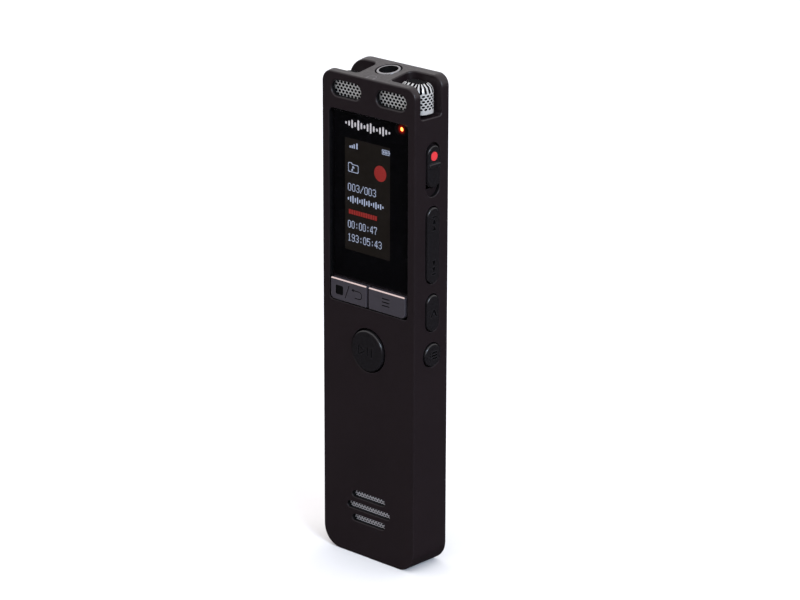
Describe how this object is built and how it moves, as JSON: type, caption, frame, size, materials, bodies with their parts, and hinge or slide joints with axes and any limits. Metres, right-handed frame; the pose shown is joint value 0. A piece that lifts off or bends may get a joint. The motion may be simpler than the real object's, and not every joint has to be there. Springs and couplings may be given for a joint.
{
  "type": "handheld voice recorder",
  "caption": "Slim pocket voice recorder with a display, front keys, a play button, side slider and buttons, caged stereo microphones and a foot loudspeaker.",
  "frame": {"origin": "centre of the foot, where the recorder stands when it is held upright", "axes": "+Z along the length towards the microphones, -Y out of the front with the display, +X out of the side with the buttons"},
  "size_m": [0.0247, 0.0099, 0.098],
  "materials": {
    "shell": "dark anodised, finely brushed",
    "screws": "black-coated steel",
    "window": "dark tinted, polished",
    "display": "lit panel",
    "flex": "polyimide film",
    "connectors": "moulded",
    "indicator": "clear red",
    "keys": "metallic paint, satin",
    "controls": "satin",
    "red_mark": "satin",
    "mesh_metal": "perforated, bright",
    "rubber_parts": "matte",
    "plated_metal": "nickel plated",
    "jack_plastic": "satin",
    "speaker_body": "moulded",
    "board": "solder mask",
    "cell_foil": "laminated foil",
    "chips": "moulded epoxy"
  },
  "bodies": {
    "recorder": {"housing": "shell", "back_cover": "shell", "cover_screw_1": "screws", "cover_screw_2": "screws", "cover_screw_3": "screws", "cover_screw_4": "screws", "display_window": "window", "display_module": "display", "display_flex": "flex", "display_connector": "connectors", "led_light_pipe": "indicator", "status_led": "indicator", "mic_cage_left": "mesh_metal", "mic_cage_right": "mesh_metal", "mic_boot_left": "rubber_parts", "mic_boot_right": "rubber_parts", "mic_capsule_left": "plated_metal", "mic_capsule_right": "plated_metal", "front_grille_left": "mesh_metal", "front_grille_right": "mesh_metal", "headphone_jack": "jack_plastic", "speaker_mesh": "mesh_metal", "speaker_gasket": "rubber_parts", "speaker": "speaker_body", "main_board": "board", "stop_key_switch": "plated_metal", "menu_key_switch": "plated_metal", "play_switch": "plated_metal", "skip_forward_switch": "plated_metal", "skip_back_switch": "plated_metal", "side_button_switch": "plated_metal", "list_button_switch": "plated_metal", "slide_switch": "plated_metal", "battery": "cell_foil", "battery_pad": "rubber_parts", "battery_connector": "connectors", "processor": "chips", "flash_memory": "chips", "audio_codec": "chips", "usb_port": "plated_metal"},
    "stop": {"stop_key": "keys"},
    "menu": {"menu_key": "keys"},
    "play": {"play_button": "controls"},
    "record_slide": {"record_slider": "controls", "slider_dot": "red_mark", "slide_switch_knob": "connectors"},
    "rocker": {"skip_rocker": "controls"},
    "side": {"side_button": "controls"},
    "list": {"list_button": "controls"}
  },
  "joints": [
    {"name": "play_press", "type": "slide", "parent": "recorder", "child": "play", "axis": [0, 1, 0], "range_m": [0, 0.00025], "stiffness_N_per_m": 1500},
    {"name": "stop_key_press", "type": "slide", "parent": "recorder", "child": "stop", "axis": [0, 1, 0], "range_m": [0, 0.00025], "stiffness_N_per_m": 1500},
    {"name": "menu_key_press", "type": "slide", "parent": "recorder", "child": "menu", "axis": [0, 1, 0], "range_m": [0, 0.00025], "stiffness_N_per_m": 1500},
    {"name": "record_slide", "type": "slide", "parent": "recorder", "child": "record_slide", "axis": [0, 0, 1], "range_m": [-0.0016, 0]},
    {"name": "rocker_tilt", "type": "hinge", "parent": "recorder", "child": "rocker", "pos_m": [0.0108, 0.00025, 0.0656], "axis": [0, 1, 0], "range_deg": [-1.8, 1.8], "stiffness_Nm_per_rad": 0.06},
    {"name": "side_button_press", "type": "slide", "parent": "recorder", "child": "side", "axis": [-1, 0, 0], "range_m": [0, 0.0002], "stiffness_N_per_m": 1500},
    {"name": "list_button_press", "type": "slide", "parent": "recorder", "child": "list", "axis": [-1, 0, 0], "range_m": [0, 0.0002], "stiffness_N_per_m": 1500}
  ]
}
